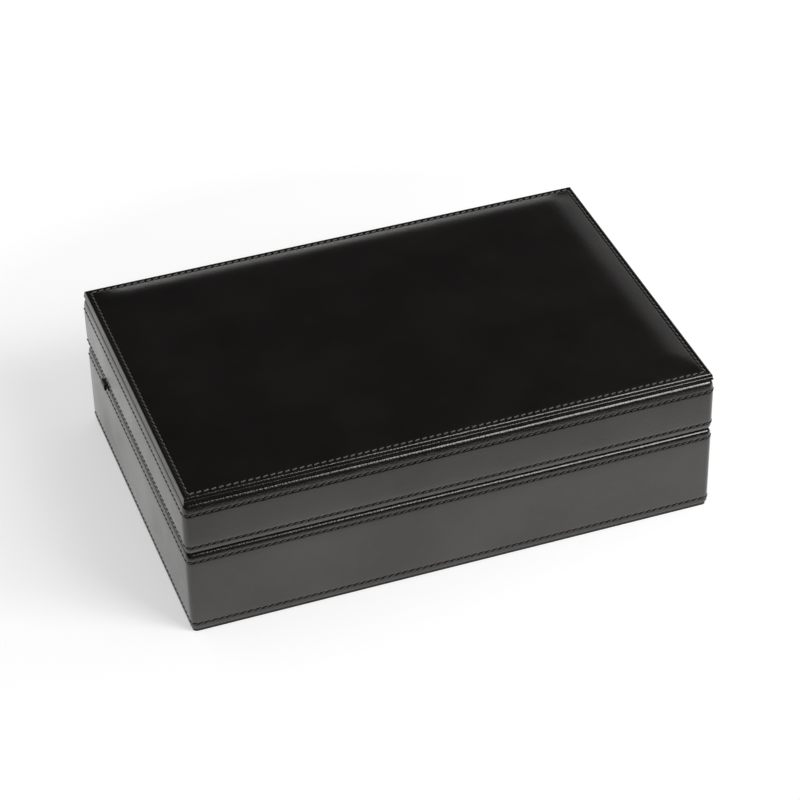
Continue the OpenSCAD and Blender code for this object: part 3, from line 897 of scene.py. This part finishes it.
class BOX_OT_sew_rows(bpy.types.Operator):
    """Sews the five rows of stitches"""

    bl_idname = "box.sew_rows"
    bl_label = "Sew the rows"

    def execute(self, context):
        shape, finish = context.scene.box_shape, context.scene.box_finish
        thread = kept_material("Waxed thread", thread_material, "Waxed thread", tuple(finish.thread))
        # Painted light: the panel's stitches get a copy of the thread painted 2.6 times lighter, standing in
        # for the lamps that light them from above, while the wall rows keep the thread's own colour
        painted_lit_thread = kept_material("Worn thread", thread_material, "Worn thread", shade(finish.thread, 2.6))
        stitch = self.one_stitch(shape)
        wall_depth = shape.pinch - THREAD_PROUD * shape.thread_width
        rows = (
            ("base_foot_stitches", "base", BASE_LOW.z + shape.foot_row, wall_depth),
            ("base_rim_stitches", "base", BASE_HIGH.z - shape.rim_row, wall_depth),
            ("lid_rim_stitches", "lid", LID_LOW.z + shape.rim_row, wall_depth),
            ("lid_top_stitches", "lid", LID_HIGH.z - shape.top_row, wall_depth),
        )
        for name, body, height, depth in rows:
            half = Vector((HALF_X - depth, HALF_Y - depth))
            row = self.sewn(name, stitch, self.round_walls(half, CORNER_R, height, shape))
            dress(row, thread, body, "thread")
        half = Vector((SKIN_HIGH.x - shape.panel_row, SKIN_HIGH.y - shape.panel_row))
        lift = PANEL_EDGE_Z - shape.pinch + THREAD_PROUD * shape.thread_width
        row = self.sewn("panel_stitches", stitch, self.round_panel(half, lift, shape))
        # The panel row takes the thread copy with painted light
        dress(row, painted_lit_thread, "lid", "thread")
        bpy.data.objects.remove(stitch, do_unlink=True)
        return {"FINISHED"}

    def one_stitch(self, shape):
        """One stitch along X, rounded at its ends, which dip into the leather below."""
        half, r = shape.stitch_length / 2, shape.thread_width / 2
        stitch = add_rod("stitch", -half, half, 0.0, 0.0, r, sides=8)
        bevel_edges(stitch, 0.8 * r, 3, lambda edge: edge.verts[0].co.x * edge.verts[1].co.x > 0)
        only(stitch)
        bpy.ops.object.mode_set(mode="EDIT")
        bpy.ops.mesh.select_mode(type="VERT")
        for reach, dip in ((0.0, 0.0), (0.96 * half - 0.8 * r, 0.22 * r), (half - 0.5 * r, 0.3 * r)):
            mesh = bmesh.from_edit_mesh(stitch.data)
            bpy.ops.mesh.select_all(action="DESELECT")
            for vertex in mesh.verts:
                vertex.select_set(abs(vertex.co.x) > reach)
            mesh.select_flush(True)
            bmesh.update_edit_mesh(stitch.data)
            bpy.ops.transform.translate(value=(0.0, 0.0, -dip))
        bpy.ops.object.mode_set(mode="OBJECT")
        return stitch

    def round_walls(self, half, radius, height, shape):
        """Places round the walls: a point, the row's direction and the way out."""
        corner = math.pi / 2 * radius
        sides = (2 * (half.x - radius), 2 * (half.y - radius))
        total = 2 * sum(sides) + 4 * corner
        count = round(total / shape.stitch_pitch)
        turns = (
            (Vector((-half.x + radius, -half.y)), 0.0, sides[0]),
            (Vector((half.x, -half.y + radius)), 90.0, sides[1]),
            (Vector((half.x - radius, half.y)), 180.0, sides[0]),
            (Vector((-half.x, half.y - radius)), 270.0, sides[1]),
        )
        for i in range(count):
            along = total * (i + 0.5) / count
            for start, turn, run in turns:
                heading = math.radians(turn)
                ahead = Vector((math.cos(heading), math.sin(heading)))
                if along <= run:
                    point = start + ahead * along
                    break
                along -= run
                if along <= corner:
                    left = Vector((-ahead.y, ahead.x))
                    centre = start + ahead * run + left * radius
                    bend = along / radius
                    point = centre + radius * (math.sin(bend) * ahead - math.cos(bend) * left)
                    heading += bend
                    break
                along -= corner
            ahead = Vector((math.cos(heading), math.sin(heading), 0.0))
            yield Vector((point.x, point.y, height)), ahead, Vector((ahead.y, -ahead.x, 0.0))

    def round_panel(self, half, height, shape):
        """Places round the panel, whose row turns square corners."""
        for side, turn in enumerate((0.0, 90.0, 180.0, 270.0)):
            run = 2 * (half.x if side % 2 == 0 else half.y)
            out = half.y if side % 2 == 0 else half.x
            count = round(run / shape.stitch_pitch)
            heading = math.radians(turn)
            ahead = Vector((math.cos(heading), math.sin(heading), 0.0))
            left = Vector((-ahead.y, ahead.x, 0.0))
            for i in range(count):
                along = -run / 2 + run * (i + 0.5) / count
                yield ahead * along - left * out + Vector((0.0, 0.0, height)), ahead, Vector((0.0, 0.0, 1.0))

    def sewn(self, name, stitch, places):
        """Copies of the stitch at the given places, as one mesh."""
        slant = bpy.context.scene.box_shape.stitch_slant
        mesh = bmesh.new()
        for point, ahead, out in places:
            side = out.cross(ahead)
            turned = (ahead * math.cos(slant) + side * math.sin(slant)).normalized()
            across = out.cross(turned)
            place = Matrix.Translation(point) @ Matrix((turned, across, out)).transposed().to_4x4()
            start = len(mesh.verts)
            mesh.from_mesh(stitch.data)
            mesh.verts.ensure_lookup_table()
            bmesh.ops.transform(mesh, matrix=place, verts=mesh.verts[start:])
        data = bpy.data.meshes.new(name)
        mesh.to_mesh(data)
        mesh.free()
        obj = bpy.data.objects.new(name, data)
        bpy.context.scene.collection.objects.link(obj)
        only(obj)
        bpy.ops.object.shade_smooth()
        return obj


class BOX_OT_line_inside(bpy.types.Operator):
    """Lines the inside of the base and the lid"""

    bl_idname = "box.line_inside"
    bl_label = "Line the inside"

    def execute(self, context):
        finish = context.scene.box_finish
        suede = kept_material("Suede lining", lining_material, finish)
        for name, body, (low, high), node in (
            ("floor_pad", "base", FLOOR_PAD, "base_floor_pad"),
            ("ceiling_pad", "lid", CEILING_PAD, "lid_ceiling_pad"),
        ):
            pad = add_block(name, low, high)
            bevel_edges(pad, 0.65 * MM, 4)
            soften(pad, 50.0)
            dress(pad, suede, body, "lining", node)
        for node in ("base_wall_lining", "lid_wall_lining"):
            paint(node, suede)
        return {"FINISHED"}


class BOX_OT_hang_ribbons(bpy.types.Operator):
    """Hangs the two ribbon stays and folds the left one into the seam"""

    bl_idname = "box.hang_ribbons"
    bl_label = "Hang the ribbons"

    def execute(self, context):
        shape, finish = context.scene.box_shape, context.scene.box_finish
        ribbed = kept_material("Ribbed ribbon", ribbon_material, finish)
        for name, side in (("left_stay_ribbon", -1), ("right_stay_ribbon", 1)):
            ribbon = self.ribbon(name + "_cloth", side, shape)
            ribbon.data.materials.append(ribbed)
            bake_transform(ribbon)
            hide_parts(name)
        fold = self.fold()
        dress(fold, ribbed, "base", "ribbon")
        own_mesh(fold)
        return {"FINISHED"}

    def ribbon(self, name, side, shape):
        """A ribbon as it lies slack in the closed box, worked back from the straight run it would take with
        the lid open.
        """
        reach, drop = AXIS_Y - TACK_Y, AXIS_Z - BASE_TACK_Z
        low = Vector((-reach, -drop))
        cos_open, sin_open = math.cos(OPEN_ANGLE), math.sin(OPEN_ANGLE)
        high = Vector((-reach * cos_open + drop * sin_open, reach * sin_open + drop * cos_open))
        span = (high - low).length
        ahead = (high - low) / span
        left = Vector((-ahead.y, ahead.x))
        tail = 5 * MM
        steps, lanes = 72, 4
        bpy.ops.mesh.primitive_grid_add(x_subdivisions=steps, y_subdivisions=lanes, size=2.0)
        obj = named(name)
        wall_x = HALF_X - LINING_IN
        for vertex in obj.data.vertices:
            share, across = (vertex.co.x + 1) / 2, vertex.co.y
            along = -tail + (span + 2 * tail) * share
            point = low + ahead * along + left * (across * RIBBON_W / 2)
            bow = shape.ribbon_bow * math.sin(math.pi * min(1.0, max(0.0, along / span)))
            y, z = self.at_rest(point)
            vertex.co = (side * (wall_x - RIBBON_T / 2 - bow), AXIS_Y + y, AXIS_Z + z)
        apply_modifier(obj, "SOLIDIFY", "ribbon_thickness", thickness=RIBBON_T * 0.9, offset=0.0)
        only(obj)
        bpy.ops.object.mode_set(mode="EDIT")
        bpy.ops.mesh.select_all(action="SELECT")
        bpy.ops.mesh.normals_make_consistent(inside=False)
        bpy.ops.object.mode_set(mode="OBJECT")
        return soften(obj, 50.0)

    def at_rest(self, point):
        """Where a point of the open ribbon lies in the closed box, by undoing its share of the turn."""
        radius = point.length
        opened = math.atan2(point.y, -point.x)
        low, high = opened - OPEN_ANGLE, opened
        for _ in range(40):
            middle = (low + high) / 2
            share = min(1.0, max(0.0, (radius * math.sin(middle) + RIBBON_BEND) / (2 * RIBBON_BEND)))
            weight = share * share * (3 - 2 * share)
            if middle + OPEN_ANGLE * weight > opened:
                high = middle
            else:
                low = middle
        return -radius * math.cos(middle), radius * math.sin(middle)

    def fold(self):
        """The loop of the left ribbon that the closing lid pinches out of the seam."""
        wall = -HALF_X
        path_mm = (
            (7.2, 0.13), (3.0, 0.13), (1.2, 0.14), (0.4, 0.5), (-0.3, 1.3), (-0.9, 1.6), (-1.35, 1.1),
            (-1.5, 0.0), (-1.5, -1.3), (-1.3, -2.3), (-0.9, -2.8), (-0.4, -2.6), (-0.1, -1.9),
            (0.1, -1.1), (0.5, -0.4), (1.2, -0.14), (3.0, -0.13), (7.2, -0.13),
        )
        path = [Vector((wall + x * MM, z * MM + AXIS_Z)) for x, z in path_mm]
        bpy.ops.mesh.primitive_plane_add(size=FOLD_W, location=(0.0, 0.0, 0.0))
        obj = named("left_ribbon_fold")
        bpy.ops.object.mode_set(mode="EDIT")
        bpy.ops.mesh.select_mode(type="VERT")
        select_from(obj, range(4), lambda p: p.x > 0)
        bpy.ops.mesh.delete(type="VERT")
        bpy.ops.mesh.select_all(action="SELECT")
        bpy.ops.transform.translate(value=(path[0].x + FOLD_W / 2, FOLD_Y, path[0].y))
        for before, after in zip(path, path[1:]):
            step = after - before
            bpy.ops.mesh.extrude_region_move(TRANSFORM_OT_translate={"value": (step.x, 0.0, step.y)})
        bpy.ops.object.mode_set(mode="OBJECT")
        apply_modifier(obj, "SUBSURF", "round_fold", levels=2, render_levels=2)
        apply_modifier(obj, "SOLIDIFY", "fold_thickness", thickness=RIBBON_T * 0.5, offset=0.0)
        return soften(obj, 50.0)


def paint(node, material):
    """Gives a solid of the frame its material."""
    obj = frame["nodes"][node]
    obj.data.materials.clear()
    obj.data.materials.append(material)


class BOX_OT_finish_frame(bpy.types.Operator):
    """Gives boards, hinges, screws, tacks and the underside their finishes"""

    bl_idname = "box.finish_frame"
    bl_label = "Finish the frame"

    def execute(self, context):
        finish = context.scene.box_finish
        board = kept_material("Fibreboard", fibre_material, "Fibreboard", tuple(finish.board), 900.0, 0.85)
        card = kept_material("Filler card", fibre_material, "Filler card", (0.45, 0.4, 0.32), 1500.0, 0.9)
        foam = kept_material("Foam", fibre_material, "Foam", (0.75, 0.7, 0.55), 600.0, 0.95)
        brass = kept_material("Polished brass", brass_material, finish)
        cover = kept_material("Underside leathercloth", cover_material, finish)
        for node in frame["nodes"]:
            if node.endswith("_board"):
                paint(node, board)
            elif "hinge" in node or node.endswith("_tacks"):
                paint(node, brass)
        paint("lid_filler_card", card)
        paint("lid_panel_foam", foam)
        paint("base_bottom_cover", cover)
        return {"FINISHED"}


class BOX_OT_set_stage(bpy.types.Operator):
    """Sets the floor, the lamps and the camera"""

    bl_idname = "box.set_stage"
    bl_label = "Set the stage"

    # The camera, found by fitting the box's corners in the picture
    picture_px = 800.0
    focal_px = 2818.0
    azimuth_deg = -19.006
    elevation_deg = 37.18
    roll_deg = -1.363
    panel_length = 0.3
    distance = 5.4038 * panel_length
    shift_right = 0.0109 * panel_length
    shift_up = 0.1139 * panel_length

    def execute(self, context):
        stage = context.scene.box_stage
        self.floor(stage)
        self.lamps(stage)
        self.world(context.scene)
        self.camera(context.scene)
        context.scene.view_settings.view_transform = "Standard"
        return {"FINISHED"}

    def seen(self, tree):
        """1 for rays from the camera, a reflection or clear glass, and 0 for the light itself."""
        paths = tree.nodes.new("ShaderNodeLightPath")
        glossy, through = paths.outputs["Is Glossy Ray"], paths.outputs["Is Transmission Ray"]
        mirrored = maths(tree, "MAXIMUM", glossy, through)
        return maths(tree, "MAXIMUM", paths.outputs["Is Camera Ray"], mirrored)

    def floor(self, stage):
        """A pale floor that takes the box's shadow."""
        front, back, side = -0.28, 5.0, 3.0
        bpy.ops.mesh.primitive_plane_add(size=1.0, location=(0.0, (front + back) / 2, 0.0))
        obj = named("floor")
        obj.scale = (2 * side, back - front, 1.0)
        settle(obj)
        material, tree, shader = new_material("Floor paper")
        specks = placed_group(
            tree, "Soft speckle", soft_speckle, Specks_per_metre=400.0, Patches_per_metre=6.0
        )
        colour = mixed_colour(tree, specks.outputs["Patches"], shade(stage.floor, 0.995), stage.floor)
        tree.links.new(colour, shader.inputs["Base Color"])
        shader.inputs["Roughness"].default_value = 0.9
        shader.inputs["Specular IOR Level"].default_value = 0.1
        shader.inputs["Emission Color"].default_value = (1.0, 1.0, 1.0, 1.0)
        glow = maths(tree, "MULTIPLY", self.seen(tree), stage.floor_glow)
        coords = tree.nodes.new("ShaderNodeTexCoord")
        split = tree.nodes.new("ShaderNodeSeparateXYZ")
        away = tree.nodes.new("ShaderNodeVectorMath")
        away.operation = "LENGTH"
        for node in (split, away):
            tree.links.new(coords.outputs["Object"], node.inputs[0])
        # Reflections see less of the glow towards the camera, which darkens the front of the lid
        fading = ranged(tree, split.outputs["Y"], 0.3, 1.0, -0.19, -0.15)
        # The camera sees the floor turn white away from the box, so that its far edges don't show
        paths = tree.nodes.new("ShaderNodeLightPath")
        whiter = ranged(tree, away.outputs["Value"], 1.0, 1.8, 0.3, 0.6)
        seen_direct = maths(tree, "MULTIPLY", paths.outputs["Is Camera Ray"], whiter)
        kept = maths(tree, "MAXIMUM", fading, seen_direct)
        tree.links.new(maths(tree, "MULTIPLY", glow, kept), shader.inputs["Emission Strength"])
        obj.data.materials.append(material)

    def lamp(self, name, place, target, size, power):
        """An area lamp aimed at a point."""
        bpy.ops.object.light_add(type="AREA", location=place)
        lamp = bpy.context.active_object
        lamp.name = name
        lamp.data.shape = "RECTANGLE"
        lamp.data.size, lamp.data.size_y = size
        lamp.data.energy = power
        aim = Vector(place) - Vector(target)
        lamp.rotation_euler = aim.to_track_quat("Z", "Y").to_euler()
        return lamp

    def lamps(self, stage):
        self.lamp("key_softbox", (0.95, -0.82, 1.0), (0.0, 0.0, 0.05), (0.4, 0.4), stage.key_power)
        self.lamp("front_fill", (0.66, -1.08, 1.25), (0.0, 0.0, 0.0), (0.55, 1.0), stage.fill_power)
        self.lamp("side_panel", (0.95, 1.1, 0.5), (0.1, 0.0, 0.1), (0.6, 0.5), stage.side_power)

    def world(self, scene):
        """White to the camera; in reflections white low behind the box and dark at the camera's side."""
        world = bpy.data.worlds.new("Studio")
        world.use_nodes = True
        scene.world = world
        tree = world.node_tree
        background = tree.nodes["Background"]
        coords = tree.nodes.new("ShaderNodeTexCoord")
        split = tree.nodes.new("ShaderNodeSeparateXYZ")
        tree.links.new(coords.outputs["Generated"], split.inputs["Vector"])
        low_white = ranged(tree, split.outputs["Z"], 1.0, 0.0, 0.0, 0.2)
        behind = ranged(tree, split.outputs["Y"], 0.0, 1.0, -0.1, 0.3)
        mirrored = maths(tree, "MULTIPLY_ADD", low_white, behind, 0.03, clamp=True)
        paths = tree.nodes.new("ShaderNodeLightPath")
        picture = maths(tree, "MAXIMUM", mirrored, paths.outputs["Is Camera Ray"])
        picked = tree.nodes.new("ShaderNodeMix")
        picked.inputs["A"].default_value = scene.box_stage.surround
        tree.links.new(self.seen(tree), picked.inputs["Factor"])
        tree.links.new(picture, picked.inputs["B"])
        background.inputs["Color"].default_value = (1.0, 1.0, 1.0, 1.0)
        tree.links.new(picked.outputs["Result"], background.inputs["Strength"])

    def camera(self, scene):
        """The camera at the photo's angle."""
        azimuth, elevation = math.radians(self.azimuth_deg), math.radians(self.elevation_deg)
        roll = math.radians(self.roll_deg)
        back = Vector((
            math.sin(azimuth) * math.cos(elevation),
            -math.cos(azimuth) * math.cos(elevation),
            math.sin(elevation),
        ))
        level = Vector((math.cos(azimuth), math.sin(azimuth), 0.0))
        upright = back.cross(level)
        right = level * math.cos(roll) + upright * math.sin(roll)
        up = -level * math.sin(roll) + upright * math.cos(roll)
        place = back * self.distance + right * self.shift_right + up * self.shift_up
        bpy.ops.object.camera_add(location=place)
        camera = bpy.context.active_object
        camera.name = "camera"
        camera.matrix_world = Matrix.Translation(place) @ Matrix((right, up, back)).transposed().to_4x4()
        camera.data.sensor_width = 36.0
        camera.data.lens = camera.data.sensor_width * self.focal_px / self.picture_px
        camera.data.clip_start = 0.05
        camera.data.clip_end = 20.0
        camera.data.dof.use_dof = False
        scene.camera = camera


STEPS = (
    BOX_OT_wrap_walls,
    BOX_OT_pad_panel,
    BOX_OT_sew_rows,
    BOX_OT_line_inside,
    BOX_OT_hang_ribbons,
    BOX_OT_finish_frame,
    BOX_OT_set_stage,
)


class BOX_PT_panel(bpy.types.Panel):
    """Lists the settings and the steps"""

    bl_label = "Stationery box"
    bl_idname = "BOX_PT_panel"
    bl_space_type = "VIEW_3D"
    bl_region_type = "UI"
    bl_category = "Stationery box"

    def draw(self, context):
        for settings in (context.scene.box_shape, context.scene.box_finish, context.scene.box_stage):
            column = self.layout.column(align=True)
            for name in settings.bl_rna.properties.keys():
                if name not in ("rna_type", "name"):
                    column.prop(settings, name)
        for step in STEPS:
            self.layout.operator(step.bl_idname)


CLASSES = (BoxShape, BoxFinish, BoxStage, *STEPS, BOX_PT_panel)


def register():
    for cls in CLASSES:
        bpy.utils.register_class(cls)
    bpy.types.Scene.box_shape = PointerProperty(type=BoxShape)
    bpy.types.Scene.box_finish = PointerProperty(type=BoxFinish)
    bpy.types.Scene.box_stage = PointerProperty(type=BoxStage)


def unregister():
    del bpy.types.Scene.box_shape
    del bpy.types.Scene.box_finish
    del bpy.types.Scene.box_stage
    for cls in reversed(CLASSES):
        bpy.utils.unregister_class(cls)


def main():
    register()
    bpy.ops.box.set_stage()
    bpy.ops.box.wrap_walls()
    bpy.ops.box.pad_panel()
    bpy.ops.box.sew_rows()
    bpy.ops.box.line_inside()
    bpy.ops.box.hang_ribbons()
    bpy.ops.box.finish_frame()


if __name__ == "__main__":
    main()
